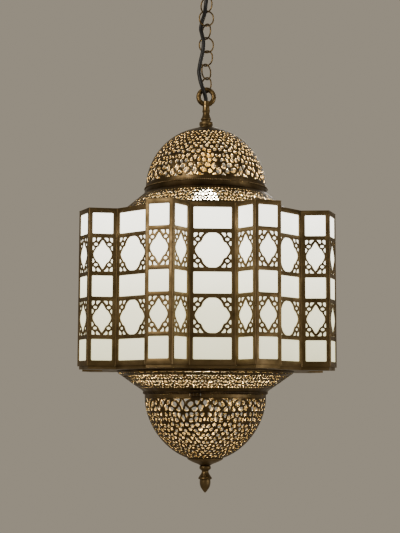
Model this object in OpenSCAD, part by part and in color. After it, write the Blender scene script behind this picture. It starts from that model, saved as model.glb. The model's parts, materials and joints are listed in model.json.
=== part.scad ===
// Hanging lantern: pierced brass body on a link chain, in millimetres.
// The origin is on the ceiling, at the centre of the bracket's two screw holes. +Z is up, and the
// middle one of the front panels faces -Y. Heights inside at_body() count from the body's mid height.

/* [Hanging] */
// Ceiling to the mid height of the body
drop = 580; // [575:1:640]
// Wire diameter of a chain link
link_wire = 2.4; // [2:0.1:2.6]
// Outside length of a chain link
link_h = 27.6; // [27:0.1:28.5]
// Outside width of a chain link
link_w = 25.4; // [25:0.1:27]
// Mean radius of the suspension ring
ring_r = 12.4; // [12:0.1:13]
// Radius of the suspension ring's round section
ring_section = 3.9; // [3.5:0.1:4]
// Diameter of the power cord
cord_d = 6.4; // [5:0.1:6.6]

/* [Body] */
// Width of each wide panel
wide_w = 67.2; // [62:0.1:72]
// Width of each narrow panel of a bay
bay_w = 43.3; // [40:0.1:47]
// Height of the panelled body
body_h = 240; // [230:1:250]
// Sheet thickness of frames and shells
sheet = 1.2; // [1:0.1:1.5]
// Thickness of the opal panes
pane_t = 2; // [1.5:0.1:3]
// Height of each plain window
window_h = 32; // [28:0.5:36]
// Height of the top rail
rail_top = 6.5; // [5:0.1:8]
// Height of each rail between two rows
rail_mid = 5.85; // [4:0.05:8]
// Height of the bottom rail
rail_bottom = 8.3; // [6:0.1:10]
// Width of the upright edges of a wide panel
wide_stile = 5.4; // [4:0.1:7]
// Width of the upright edges of a narrow panel
bay_stile = 6; // [4:0.1:7]

/* [Dome and bowl] */
// Radius of the dome at its rim
dome_rim_r = 97.3; // [94:0.1:99]
// Radius of the dome's arc
dome_arc_r = 100.6; // [100:0.1:104]
// Radius of the cones where they meet the body
cone_r = 141; // [138:0.5:144]
// Radius of the bowl at its rim
bowl_r = 96.5; // [94:0.1:96.5]
// Depth at which the bowl's curve would close
bowl_depth = 99.5; // [96:0.1:104]

/* [Light] */
// Outer radius of the lampholder
holder_r = 13; // [12:0.1:16]
// Radius of the bulb's globe
bulb_r = 22.5; // [20:0.1:25]

/* [Hidden] */
$fn = 96;

BRASS = "#5c4a26";
DARK_BRASS = "#463a22";
OPAL = "#f2efe2";
BLACK = "#141414";
STEEL = "#9a9a98";

// Free gap left between two pieces that touch loosely
gap = 0.25;
// Number of repeats round the plan: one wide panel and one bay in each sector
sectors = 8;
sector_angle = 360 / sectors;

// ---- Ceiling group
bracket_l = 90;
bracket_w = 20;
bracket_t = 2.5;
bolt_spacing = 70;
bolt_r = 2.25;
shank_r = 4;
canopy_h = 42;
canopy_flat_r = 27;
canopy_rim_r = 56;
cord_hole_x = -20;
cord_fit = 0.2;
eye_r = 9;
eye_wire_r = 2.5;

// ---- Chain, counted from the hook down to the suspension ring
ring_z = 322.2;
link_half = (link_h - link_wire) / 2;
link_pitch = 2 * link_half - link_wire - gap;
link_count = 8;
// Turn of each link about the vertical
link_turn = [45, -43, 2, -58, 3, -34, 48, -50];
eye_turn = -45;
last_link_z = ring_z + ring_r - ring_section - gap - link_wire / 2 + link_half;
function link_z(i) = last_link_z + (link_count - 1 - i) * link_pitch;
eye_z = link_z(0) + link_half - link_wire / 2 - gap - eye_wire_r + eye_r;

// ---- Plan of the body: one wide panel, then a side, a front and a side panel of a bay
side_turn = 52.5;
half = sector_angle / 2;
wide_a = (cos(half) * (wide_w / 2 + bay_w * cos(side_turn)) + bay_w / 2) / sin(half)
       - bay_w * sin(side_turn);
side_a = wide_a * cos(side_turn) - wide_w / 2 * sin(side_turn);
front_a = (wide_a + bay_w * sin(side_turn)) * cos(half)
        + (wide_w / 2 + bay_w * cos(side_turn)) * sin(half);
// Angle between a bay's front panel and its side panels, and so at its two projecting corners
bay_turn = side_turn + half;
// Outward direction and distance from the axis of each panel, in order round the plan
panel_turns = [for (k = [0:sectors - 1]) for (t = [0, -side_turn, half, sector_angle + side_turn])
  k * sector_angle + t];
panel_distances = [for (k = [0:sectors - 1]) for (d = [wide_a, side_a, front_a, side_a]) d];
function corner(i, inset) =
  let (n = len(panel_turns), j = (i + 1) % n,
       t1 = panel_turns[i], t2 = panel_turns[j],
       a1 = panel_distances[i] - inset, a2 = panel_distances[j] - inset, s = sin(t2 - t1))
  [(a1 * sin(t2) - a2 * sin(t1)) / s, (a2 * cos(t1) - a1 * cos(t2)) / s];
function star(inset) = [for (i = [0:len(panel_turns) - 1]) corner(i, inset)];
// How much shorter a plate is at a projecting corner, so that two plates meet edge to edge
corner_cut = sheet * tan(bay_turn / 2) + 0.02;

// ---- Rows of a panel, from the top
fret_h = (body_h - 3 * window_h - rail_top - 4 * rail_mid - rail_bottom) / 2;
row_heights = [window_h, fret_h, window_h, fret_h, window_h];
function row_top(i) = body_h / 2 - rail_top - (i == 0 ? 0 : sum_rows(i) + i * rail_mid);
function sum_rows(i) = i == 0 ? 0 : row_heights[i - 1] + sum_rows(i - 1);

// ---- Heights of the turned and spun pieces, from the body's mid height
star_t = sheet;
cone_top_z = 160;
dome_z = 170;
dome_offset = dome_arc_r - dome_rim_r;
tray_h = 4.8;
rope_z = -159;
rope_section = 3;
rope_r = 96.5;
band_top_z = -162.2;
bowl_z = -167;
bowl_power = 1.78;
bowl_end_h = 95;
tube_r = 5;
tube_bore_r = 3.6;
tube_fit = 0.05;
plate_hole_r = 134;

// ---- Bowl hinge and catch
hinge_turn = -102;
hinge_r = 102.3;
hinge_z = -162.5;
pin_r = 1.2;
knuckle_r = 2.6;
running_fit = 0.05;

// ---- Route of the cord, from the terminal block down to the lampholder
CORD_ROUTE = [
  [-20, 0, 563.5], [-20, 0, 546], [-20, 0, 534], [-17, 0.5, 522], [-10.5, -0.5, 510], [-3.5, -5.5, 498],
  [-1, -10, 486], [-2, -9.5, 473], [-3.5, -2, 461], [-7, 4, 450], [-9, 3.5, 438], [-7.5, -2.5, 427],
  [-5.5, -8, 415], [-5.5, -9, 404], [-7, -8, 393], [-9.5, -7, 382], [-11.5, -6.5, 371], [-12.5, -7.5, 362],
  [-11.5, -8.5, 354], [-10, -9.5, 346], [-7.5, -9.2, 338], [-4.4, -6.8, 330], [-1.4, -2.3, 322],
  [0, 0, 314], [0, 0, 306], [0, 0, 290], [0, 0, 260], [0, 0, 222]
];

module at_body() { translate([0, 0, -drop]) children(); }

// ================= Ceiling group

module ceiling_bracket() {
  color(STEEL)
  difference() {
    translate([-bracket_l / 2, -bracket_w / 2, -bracket_t]) cube([bracket_l, bracket_w, bracket_t]);
    translate([0, 0, -bracket_t - 1]) cylinder(r = shank_r + 0.02, h = bracket_t + 2);
    for (x = [-bolt_spacing / 2, bolt_spacing / 2])
      translate([x, 0, -bracket_t - 1]) cylinder(r = bolt_r, h = bracket_t + 2);
  }
}

module canopy() {
  arc = [0:7.5:90];
  outer = [for (a = arc) [canopy_flat_r + (canopy_rim_r - canopy_flat_r) * cos(a), -canopy_h * sin(a)]];
  inner = [for (a = arc) [canopy_flat_r + (canopy_rim_r - sheet - canopy_flat_r) * cos(a),
                          -(canopy_h - sheet) * sin(a)]];
  color(BRASS)
  difference() {
    rotate_extrude()
      polygon(concat([for (i = [0:len(outer) - 1]) outer[i]],
                     [[0, -canopy_h], [0, -canopy_h + sheet]],
                     [for (i = [len(inner) - 1:-1:0]) inner[i]]));
    translate([0, 0, -canopy_h - 1]) cylinder(r = shank_r + 0.1, h = sheet + 2);
    translate([cord_hole_x, 0, -canopy_h - 1]) cylinder(r = 5, h = sheet + 2);
  }
}

module canopy_nut() {
  color(BRASS)
  translate([0, 0, -canopy_h - 7])
  difference() {
    union() {
      cylinder(r = 8, h = 7);
      translate([0, 0, 3]) cylinder(r = 9.5, h = 3);
    }
    translate([0, 0, -1]) cylinder(r = shank_r + 0.02, h = 9);
  }
}

module canopy_hook() {
  color(BRASS)
  union() {
    at_body() translate([0, 0, eye_z]) rotate([90, 0, eye_turn]) rotate([0, 0, 150])
      rotate_extrude(angle = 300) translate([eye_r, 0]) circle(r = eye_wire_r);
    at_body() translate([0, 0, eye_z + eye_r]) sphere(r = shank_r);
    at_body() translate([0, 0, eye_z + eye_r]) cylinder(r = shank_r, h = drop - eye_z - eye_r);
  }
}

module cord_grommet() {
  lip = 2;
  color(BLACK)
  translate([cord_hole_x, 0, -canopy_h])
  rotate_extrude()
    polygon([[cord_d / 2 + cord_fit, -lip], [6, -lip], [7, -lip / 2], [7, 0], [4.95, 0], [4.95, sheet],
             [7, sheet], [7, sheet + lip / 2], [6, sheet + lip], [cord_d / 2 + cord_fit, sheet + lip]]);
}

module terminal_block() {
  block = [22, 18, 14];
  color("#d8d4c6")
  translate([cord_hole_x, 0, -bracket_t - block[2]])
  difference() {
    translate([-block[0] / 2, -block[1] / 2, 0]) cube(block);
    for (x = [-6, 0, 6])
      translate([x, -block[1] / 2 - 1, 9]) rotate([-90, 0, 0]) cylinder(r = 2, h = 6);
  }
}

// Points along a smooth curve through the route, and a frame at each, for the swept tube
function spline(p, i, t) =
  let (a = p[max(i - 1, 0)], b = p[i], c = p[i + 1], d = p[min(i + 2, len(p) - 1)])
  0.5 * (2 * b + (c - a) * t + (2 * a - 5 * b + 4 * c - d) * t * t + (3 * b - a - 3 * c + d) * t * t * t);
function smooth(p, n) = concat([for (i = [0:len(p) - 2]) for (k = [0:n - 1]) spline(p, i, k / n)],
                               [p[len(p) - 1]]);
function unit(v) = v / norm(v);
function ring_at(p, i, r, sides) =
  let (a = p[max(i - 1, 0)], b = p[min(i + 1, len(p) - 1)], t = unit(b - a),
       u = unit(cross([0, 1, 0], t)), v = cross(t, u))
  [for (k = [0:sides - 1]) p[i] + r * (cos(360 * k / sides) * u + sin(360 * k / sides) * v)];

module tube_along(p, r, sides) {
  n = len(p);
  points = [for (i = [0:n - 1]) each ring_at(p, i, r, sides)];
  walls = [for (i = [0:n - 2]) for (k = [0:sides - 1])
    [i * sides + k, i * sides + (k + 1) % sides, (i + 1) * sides + (k + 1) % sides, (i + 1) * sides + k]];
  first = [for (k = [sides - 1:-1:0]) k];
  last = [for (k = [0:sides - 1]) (n - 1) * sides + k];
  polyhedron(points, concat([first], walls, [last]));
}

module power_cord() {
  color(BLACK) at_body() tube_along(smooth(CORD_ROUTE, 2), cord_d / 2, 10);
}

// ================= Chain

module chain_link(i) {
  mean_r = (link_w - link_wire) / 2;
  straight = link_h - link_w;
  color(BRASS)
  at_body() translate([0, 0, link_z(i)]) rotate(link_turn[i]) rotate([90, 0, 0])
  union() {
    for (end = [0, 1])
      rotate(180 * end) translate([0, straight / 2]) rotate_extrude(angle = 180)
        translate([mean_r, 0]) circle(r = link_wire / 2);
    for (x = [-mean_r, mean_r])
      translate([x, straight / 2, 0]) rotate([90, 0, 0]) cylinder(r = link_wire / 2, h = straight);
  }
}

// ================= Suspension

module suspension_ring() {
  boss_r = 5.85;
  color(BRASS)
  at_body()
  difference() {
    union() {
      translate([0, 0, ring_z]) rotate([90, 0, 0])
        rotate_extrude() translate([ring_r, 0]) circle(r = ring_section);
      translate([0, 0, 300]) cylinder(r = boss_r, h = 14.5);
    }
    translate([0, 0, 299]) cylinder(r = tube_bore_r, h = 18);
  }
}

module stem() {
  color(BRASS)
  at_body()
  rotate_extrude()
    polygon([[tube_bore_r, 300], [5.85, 300], [6.3, 298.6], [6.3, 297], [5.5, 295.5], [5.9, 292],
             [7.2, 287.8], [8.8, 285.2], [8.8, 283.8], [7.4, 282], [7, 280], [tube_r + tube_fit, 280],
             [tube_r + tube_fit, 296], [tube_bore_r, 296]]);
}

module stem_collar() {
  color(BRASS)
  at_body()
  rotate_extrude()
    polygon([[tube_r + tube_fit, 280], [10, 280], [11, 279], [11, 275], [10, 274], [10.5, 272.3],
             [13, 270.9], [13, 270.4], [tube_r + tube_fit, 270.4]]);
}

module threaded_tube() {
  color(STEEL)
  at_body()
  difference() {
    translate([0, 0, 226]) cylinder(r = tube_r, h = 70);
    translate([0, 0, 225]) cylinder(r = tube_bore_r, h = 72);
  }
}

module tube_washer() {
  color(STEEL)
  at_body()
  difference() {
    translate([0, 0, 266.6]) cylinder(r = 12, h = 1.4);
    translate([0, 0, 266]) cylinder(r = tube_r + tube_fit, h = 3);
  }
}

module tube_nut() {
  color(STEEL)
  at_body()
  difference() {
    translate([0, 0, 261.1]) cylinder(r = 8.1, h = 5.5, $fn = 6);
    translate([0, 0, 260]) cylinder(r = tube_r + 0.02, h = 8);
  }
}

// ================= Dome and upper cone

function dome_arc(r, hole_r) =
  let (top = acos((hole_r + dome_offset) / r), steps = 18)
  [for (i = [0:steps]) [r * cos(top * i / steps) - dome_offset, dome_z + r * sin(top * i / steps)]];
function reversed(p) = [for (i = [len(p) - 1:-1:0]) p[i]];

module dome() {
  hole_r = tube_r + tube_fit;
  color(BRASS)
  at_body()
  rotate_extrude($fn = 128)
    polygon(concat([[100, cone_top_z], [98.8, 162.5], [97.6, 166]], dome_arc(dome_arc_r, hole_r),
                   reversed(dome_arc(dome_arc_r - 1, hole_r)),
                   [[96.4, 166], [97.4, 162.5], [98.4, cone_top_z]]));
}

module dome_beading() {
  color(BRASS)
  at_body()
  translate([0, 0, 168.2])
    rotate_extrude($fn = 128) translate([99, 0]) circle(r = 1.2, $fn = 24);
}

module upper_cone() {
  foot_z = body_h / 2 + star_t;
  color(BRASS)
  at_body()
  rotate_extrude($fn = 128)
    polygon([[99.8, cone_top_z], [cone_r, foot_z + 4], [cone_r + 0.6, foot_z], [cone_r - 0.6, foot_z],
             [cone_r - 1, foot_z + 3.2], [98, cone_top_z - 0.5], [98, cone_top_z]]);
}

module star_sheet(z, t, inset, hole_r) {
  translate([0, 0, z])
  difference() {
    linear_extrude(height = t) polygon(star(inset));
    translate([0, 0, -1]) cylinder(r = hole_r, h = t + 2);
  }
}

module top_plate() {
  color(BRASS) at_body() star_sheet(body_h / 2, star_t, 0, plate_hole_r);
}

// ================= Body panels

function mirrored_x(p) = [for (q = reversed(p)) [-q[0], q[1]]];
function mirrored_y(p) = [for (q = reversed(p)) [q[0], -q[1]]];
function four_way(quarter) = let (right = concat(quarter, mirrored_y(quarter)))
  concat(right, mirrored_x(right));

// Opening of a narrow fret tile: a pointed ogee with a shoulder beside each ring
function narrow_fret(w, h) = four_way([
  [1.1, h / 2 - 2.2], [2.6, h / 2 - 6], [6, h / 2 - 9.6], [w / 2 - 8.6, h / 2 - 11.2],
  [w / 2 - 4.4, h / 2 - 16.5], [w / 2 - 2.4, h / 2 - 21.5], [w / 2 - 1.9, 1.5]]);
// Opening of a wide fret tile: four lobes, flat at the top and the bottom
function wide_fret(w, h) = four_way([
  [6.3, h / 2 - 1.2], [9.4, h / 2 - 5.8], [13.5, h / 2 - 10.4], [w / 2 - 11.5, h / 2 - 13],
  [w / 2 - 8, h / 2 - 14.2], [w / 2 - 4, h / 2 - 18.5], [w / 2 - 2.2, h / 2 - 23], [w / 2 - 2, 1.5]]);

module fret_cut(w, h, kind) {
  ring_in = [5.8, 10];
  polygon(kind == "wide" ? wide_fret(w, h) : narrow_fret(w, h));
  for (x = [-1, 1]) for (y = [-1, 1])
    translate([x * (w / 2 - ring_in[0]), y * (h / 2 - ring_in[1])]) circle(r = 2.2, $fn = 24);
}

module panel_plate(w, cut_left, cut_right, stile, kind) {
  tile_w = w - 2 * stile + 2;
  linear_extrude(height = sheet)
  difference() {
    translate([-w / 2 + cut_left, -body_h / 2]) square([w - cut_left - cut_right, body_h]);
    for (i = [0, 2, 4])
      translate([-w / 2 + stile, row_top(i) - window_h]) square([w - 2 * stile, window_h]);
    for (i = [1, 3])
      translate([0, row_top(i) - fret_h / 2]) fret_cut(tile_w, fret_h, kind);
  }
}

// Stands a plate drawn in X and Y upright, with its outer face a given distance from the axis
module upright(turn, distance, t) {
  rotate(turn) translate([distance - t, 0, 0]) rotate([90, 0, 90]) children();
}

module wide_frame(k) {
  color(BRASS)
  at_body() upright(k * sector_angle, wide_a, sheet)
    panel_plate(wide_w, 0.02, 0.02, wide_stile, "wide");
}

module bay_frame(k) {
  middle = (k + 0.5) * sector_angle;
  color(BRASS)
  at_body() {
    upright(middle, front_a, sheet) panel_plate(bay_w, corner_cut, corner_cut, bay_stile, "narrow");
    upright(middle - bay_turn, side_a, sheet)
      translate([side_shift, 0]) panel_plate(bay_w, 0.02, corner_cut, bay_stile, "narrow");
    upright(middle + bay_turn, side_a, sheet)
      translate([-side_shift, 0]) panel_plate(bay_w, corner_cut, 0.02, bay_stile, "narrow");
  }
}

// Distance along a side panel from the foot of its normal to its middle
side_shift = wide_a * sin(side_turn) + wide_w / 2 * cos(side_turn) + bay_w / 2;

module pane(w) {
  h = body_h - 8;
  linear_extrude(height = pane_t) translate([-w / 2, -h / 2]) square([w, h]);
}

module wide_panes() {
  color(OPAL)
  at_body() for (k = [0:sectors - 1])
    upright(k * sector_angle, wide_a - sheet - 0.1, pane_t) pane(wide_w - 4);
}

module bay_panes() {
  w = bay_w - 2 * (sheet + pane_t) * tan(bay_turn / 2) - 1.5;
  lift = sheet + 0.1;
  color(OPAL)
  at_body() for (k = [0:sectors - 1]) {
    middle = (k + 0.5) * sector_angle;
    upright(middle, front_a - lift, pane_t) pane(w);
    upright(middle - bay_turn, side_a - lift, pane_t) translate([side_shift, 0]) pane(w);
    upright(middle + bay_turn, side_a - lift, pane_t) translate([-side_shift, 0]) pane(w);
  }
}

// ================= Bottom of the lantern

module bottom_plate() {
  inset = 2.5;
  z = -body_h / 2 - tray_h;
  color(BRASS)
  at_body() {
    difference() {
      translate([0, 0, z]) linear_extrude(height = tray_h) polygon(star(inset));
      translate([0, 0, z + sheet]) linear_extrude(height = tray_h) polygon(star(inset + sheet));
      translate([0, 0, z - 1]) cylinder(r = plate_hole_r, h = tray_h + 2);
    }
  }
}

module lower_cone() {
  top_z = -body_h / 2 - tray_h;
  foot_z = rope_z + rope_section;
  color(BRASS)
  at_body()
  rotate_extrude($fn = 128)
    polygon([[cone_r + 0.4, top_z], [cone_r, top_z - 2.5], [100, foot_z], [98.4, foot_z],
             [cone_r - 1, top_z - 1.8], [cone_r - 0.8, top_z]]);
}

module rope_ring() {
  color(DARK_BRASS)
  at_body()
  translate([0, 0, rope_z])
    rotate_extrude($fn = 128) translate([rope_r, 0]) circle(r = rope_section, $fn = 32);
}

module hinge_leaf() {
  color(DARK_BRASS)
  at_body() rotate(hinge_turn)
  difference() {
    union() {
      translate([99.6, -7.5, -159.6]) cube([1.3, 15, 3.6]);
      for (y = [-7.5, 2.8]) {
        translate([99.6, y, hinge_z]) cube([1.3, 4.7, 3.2]);
        translate([hinge_r, y, hinge_z]) rotate([-90, 0, 0]) cylinder(r = knuckle_r, h = 4.7);
      }
    }
    translate([hinge_r, -9, hinge_z]) rotate([-90, 0, 0]) cylinder(r = pin_r + running_fit, h = 18);
  }
}

module hinge_pin() {
  color(STEEL)
  at_body() rotate(hinge_turn) translate([hinge_r, 0, hinge_z]) rotate([-90, 0, 0]) {
    translate([0, 0, -8]) cylinder(r = pin_r, h = 16);
    for (z = [-8.6, 7.6]) translate([0, 0, z]) cylinder(r = 1.9, h = 1);
  }
}

module catch_spring() {
  lip_z = -170.4;
  color(DARK_BRASS)
  at_body() rotate(hinge_turn + 180) union() {
    translate([99.6, -4, lip_z]) cube([0.7, 8, -156 - lip_z]);
    translate([97.9, -4, lip_z]) cube([2, 8, 0.6]);
  }
}

// ================= Lampholder and bulb

module lampholder_cap() {
  color("#8a6f38")
  at_body()
  rotate_extrude()
    polygon([[tube_r + tube_fit, 236], [7.2, 236], [9, 233], [12, 230], [holder_r, 226], [holder_r, 214],
             [holder_r - 2, 214], [holder_r - 2, 225], [tube_r + tube_fit, 226]]);
}

module lampholder_sleeve() {
  color("#8a6f38")
  at_body()
  rotate_extrude()
    polygon([[0, 214], [holder_r, 214], [holder_r, 190], [holder_r - 0.8, 189], [7.4, 189], [7.4, 211],
             [0, 211]]);
}

module bulb_base() {
  color("silver")
  at_body()
  rotate_extrude()
    polygon([[0, 210], [2.4, 210], [2.8, 208.5], [6.6, 207], [6.9, 205], [6.9, 188], [7.3, 185.6],
             [0, 185.6]]);
}

module bulb_glass() {
  globe_z = 147;
  neck_r = 7.8;
  blend_a = 62;
  color("#fff4d8")
  at_body()
  rotate_extrude()
    polygon(concat([[0, 185.5], [neck_r, 185.5], [neck_r + 0.4, 180], [9, 173]],
                   [for (a = [blend_a:-8:-90]) [bulb_r * cos(a), globe_z + bulb_r * sin(a)]]));
}

// ================= Bowl

function bowl_curve(r, depth, end_h) =
  [for (u = [0:1 / 16:1]) let (h = end_h * (1 - pow(1 - u, 1.5)))
    [r * sqrt(1 - pow(h / depth, bowl_power)), bowl_z - h]];

module bowl_band() {
  color(BRASS)
  at_body()
  difference() {
    translate([0, 0, bowl_z]) cylinder(r = bowl_r, h = band_top_z - bowl_z, $fn = 128);
    translate([0, 0, bowl_z - 1]) cylinder(r = bowl_r - sheet, h = band_top_z - bowl_z + 2, $fn = 128);
  }
}

module bowl() {
  color(BRASS)
  at_body()
  rotate_extrude($fn = 128)
    polygon(concat(bowl_curve(bowl_r, bowl_depth, bowl_end_h),
                   reversed(bowl_curve(bowl_r - 1, bowl_depth - 1, bowl_end_h))));
}

module bowl_hinge_leaf() {
  color(DARK_BRASS)
  at_body() rotate(hinge_turn)
  difference() {
    union() {
      translate([96.6, -7, -169.8]) cube([1.1, 14, 6.4]);
      translate([96.6, -2.4, hinge_z - knuckle_r]) cube([hinge_r - 96.6, 4.8, 1.4]);
      translate([hinge_r, -2.5, hinge_z]) rotate([-90, 0, 0]) cylinder(r = knuckle_r, h = 5);
    }
    translate([hinge_r, -9, hinge_z]) rotate([-90, 0, 0]) cylinder(r = pin_r + running_fit, h = 18);
  }
}

module catch_lug() {
  color(DARK_BRASS)
  at_body() rotate(hinge_turn + 180) translate([96.6, -3, -169.4]) cube([2.6, 6, 2.4]);
}

module bowl_cap() {
  top_z = bowl_z - bowl_end_h;
  color(BRASS)
  at_body()
  rotate_extrude()
    polygon([[28.4, top_z], [28.4, top_z - 1.2], [20, top_z - 4.8], [12, top_z - 8.6], [9, top_z - 10.8],
             [2.05, top_z - 10.8], [2.05, top_z - 9], [11, top_z - 7], [19, top_z - 3.2], [25, top_z]]);
}

module finial() {
  color(BRASS)
  at_body()
  rotate_extrude()
    polygon(concat([[0, -264], [2, -264], [2, -272.8], [7, -272.8], [8.7, -274.6], [9.1, -276.8],
                    [8.6, -279], [6, -280.6], [5.3, -282.2], [5.9, -284], [8.4, -289], [10.8, -292.6],
                    [10.8, -294], [8.4, -295]],
                   [[8.4, -296.6], [8.6, -299.5], [8.4, -302.6], [7.7, -305.4], [6.5, -308], [5, -310.4],
                    [3.3, -312.7], [1.6, -314.8], [0, -316]]));
}

ceiling_bracket();
canopy();
canopy_nut();
canopy_hook();
cord_grommet();
terminal_block();
power_cord();
for (i = [0:link_count - 1])
  chain_link(i);
suspension_ring();
stem();
stem_collar();
threaded_tube();
tube_washer();
tube_nut();
dome();
dome_beading();
upper_cone();
top_plate();
for (k = [0:sectors - 1])
  wide_frame(k);
for (k = [0:sectors - 1])
  bay_frame(k);
wide_panes();
bay_panes();
bottom_plate();
lower_cone();
rope_ring();
hinge_leaf();
hinge_pin();
catch_spring();
lampholder_cap();
lampholder_sleeve();
bulb_base();
bulb_glass();
bowl_band();
bowl();
bowl_hinge_leaf();
catch_lug();
bowl_cap();
finial();
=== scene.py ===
"""Looks of the hanging lantern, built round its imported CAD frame.

Lengths inside the functions are in millimetres, and heights there count from the body's mid height.
point() turns them into the frame's metres.
"""

import json
import math

import bpy
from mathutils import Euler, Matrix, Vector
from mathutils.geometry import delaunay_2d_cdt


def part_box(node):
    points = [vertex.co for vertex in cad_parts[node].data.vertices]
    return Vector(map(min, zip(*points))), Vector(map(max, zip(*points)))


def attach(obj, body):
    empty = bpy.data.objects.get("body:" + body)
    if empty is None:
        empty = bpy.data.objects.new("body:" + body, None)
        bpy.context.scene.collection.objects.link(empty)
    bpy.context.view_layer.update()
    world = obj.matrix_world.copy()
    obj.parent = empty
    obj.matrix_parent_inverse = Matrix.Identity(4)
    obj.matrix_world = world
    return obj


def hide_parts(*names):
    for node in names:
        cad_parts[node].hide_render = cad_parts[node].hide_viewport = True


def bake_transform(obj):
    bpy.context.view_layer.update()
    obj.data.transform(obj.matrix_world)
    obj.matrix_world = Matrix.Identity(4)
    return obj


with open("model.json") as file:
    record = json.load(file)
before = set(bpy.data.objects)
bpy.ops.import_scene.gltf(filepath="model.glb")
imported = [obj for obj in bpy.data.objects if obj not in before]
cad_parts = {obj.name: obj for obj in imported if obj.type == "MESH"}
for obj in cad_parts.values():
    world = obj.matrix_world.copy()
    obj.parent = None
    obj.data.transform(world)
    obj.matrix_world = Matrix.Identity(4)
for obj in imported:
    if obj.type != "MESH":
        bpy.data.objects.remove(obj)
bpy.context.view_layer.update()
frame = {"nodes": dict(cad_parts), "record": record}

MM = 0.001
body_lo, body_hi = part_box("wide_frame_1")
BODY_Z = (body_lo.z + body_hi.z) / 2
BODY_H = (body_hi.z - body_lo.z) / MM
LINKS = ["link_%d" % i for i in range(1, 9)]


def point(x, y, z):
    """A point in millimetres from the body's mid height, as a place in the frame."""
    return Vector((x * MM, y * MM, BODY_Z + z * MM))


# ---------------------------------------------------------------- Camera, light and floor

def make_camera():
    """Looks along +Y, a little from the left and from below, with the photograph's field of view."""
    data = bpy.data.cameras.new("camera")
    data.sensor_width = 36
    data.lens = 82.46
    cam = bpy.data.objects.new("camera", data)
    bpy.context.scene.collection.objects.link(cam)
    bpy.context.scene.camera = cam
    distance, azimuth, drop = 1.9543, math.radians(3.45), 0.1763
    cam.location = (-distance * math.sin(azimuth), -distance * math.cos(azimuth), BODY_Z - drop)
    pitch, heading, roll = math.radians(96.41), math.radians(-3.18), math.radians(0.2)
    turn = Euler((pitch, 0, heading)).to_matrix() @ Matrix.Rotation(roll, 3, "Z")
    cam.rotation_euler = turn.to_euler()


def area_light(name, place, target, size, power, colour):
    data = bpy.data.lights.new(name, "AREA")
    data.shape = "DISK"
    data.size = size
    data.energy = power
    data.color = colour
    lamp = bpy.data.objects.new(name, data)
    bpy.context.scene.collection.objects.link(lamp)
    lamp.location = place
    lamp.rotation_euler = (Vector(target) - Vector(place)).to_track_quat("-Z", "Y").to_euler()


def inner_light(name, place, power):
    """The bulb's light inside the shell, warm and soft."""
    data = bpy.data.lights.new(name, "POINT")
    data.shadow_soft_size = 0.012
    data.energy = power
    data.color = (1, 0.88, 0.58)
    lamp = bpy.data.objects.new(name, data)
    bpy.context.scene.collection.objects.link(lamp)
    lamp.location = place


def make_light():
    world = bpy.data.worlds.new("studio")
    bpy.context.scene.world = world
    world.use_nodes = True
    back = world.node_tree.nodes["Background"]
    back.inputs["Color"].default_value = (0.52, 0.46, 0.36, 1)
    back.inputs["Strength"].default_value = 0.62
    middle = (0, 0, BODY_Z)
    area_light("key", (-1.5, -1.7, BODY_Z + 0.9), middle, 0.9, 28, (1, 0.93, 0.84))
    area_light("fill", (2.0, -1.2, BODY_Z - 0.2), middle, 1.3, 12, (1, 0.96, 0.90))
    area_light("rim", (0.6, 1.9, BODY_Z + 0.8), middle, 1.0, 8, (1, 0.95, 0.88))
    inner_light("upper_glow", point(34, -20, 168), 4.5)
    inner_light("lower_glow", point(0, -25, -10), 16)


def make_floor():
    """A pale disc far below the lantern."""
    depth, radius, steps = -2.4, 3.4, 96
    ring = [(radius * math.cos(2 * math.pi * i / steps), radius * math.sin(2 * math.pi * i / steps), depth)
            for i in range(steps)]
    mesh = bpy.data.meshes.new("floor")
    mesh.from_pydata(ring, [], [list(range(steps))])
    floor = bpy.data.objects.new("floor", mesh)
    bpy.context.scene.collection.objects.link(floor)
    mat, _, shader = new_material("floor_paint")
    shader.inputs["Base Color"].default_value = (0.62, 0.59, 0.53, 1)
    shader.inputs["Roughness"].default_value = 0.85
    mesh.materials.append(mat)


# ---------------------------------------------------------------- Materials

def new_material(name):
    mat = bpy.data.materials.new(name)
    mat.use_nodes = True
    return mat, mat.node_tree, mat.node_tree.nodes["Principled BSDF"]


def noise(tree, scale, detail=4, distortion=0.0, stretch=(1, 1, 1)):
    """Noise in the piece's own metres. scale is in patches per metre."""
    coords = tree.nodes.new("ShaderNodeTexCoord")
    place = tree.nodes.new("ShaderNodeMapping")
    place.inputs["Scale"].default_value = stretch
    tex = tree.nodes.new("ShaderNodeTexNoise")
    tex.inputs["Scale"].default_value = scale
    tex.inputs["Detail"].default_value = detail
    tex.inputs["Distortion"].default_value = distortion
    tree.links.new(coords.outputs["Object"], place.inputs["Vector"])
    tree.links.new(place.outputs["Vector"], tex.inputs["Vector"])
    return tex.outputs["Fac"]


def ramp(tree, value, stops):
    """Colours at places from 0 to 1 along value."""
    node = tree.nodes.new("ShaderNodeValToRGB")
    elements = node.color_ramp.elements
    while len(elements) < len(stops):
        elements.new(0.5)
    for element, (place, colour) in zip(elements, stops):
        element.position = place
        element.color = (*colour, 1)
    tree.links.new(value, node.inputs["Fac"])
    return node.outputs["Color"]


def spread(tree, value, low, high):
    """Value from 0.3 to 0.7, the middle of a noise, taken to low and high."""
    node = tree.nodes.new("ShaderNodeMapRange")
    node.inputs["From Min"].default_value = 0.3
    node.inputs["From Max"].default_value = 0.7
    node.inputs["To Min"].default_value = low
    node.inputs["To Max"].default_value = high
    tree.links.new(value, node.inputs["Value"])
    return node.outputs["Result"]


def bump(tree, shader, height, strength, depth):
    node = tree.nodes.new("ShaderNodeBump")
    node.inputs["Strength"].default_value = strength
    node.inputs["Distance"].default_value = depth
    tree.links.new(height, node.inputs["Height"])
    tree.links.new(node.outputs["Normal"], shader.inputs["Normal"])


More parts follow.
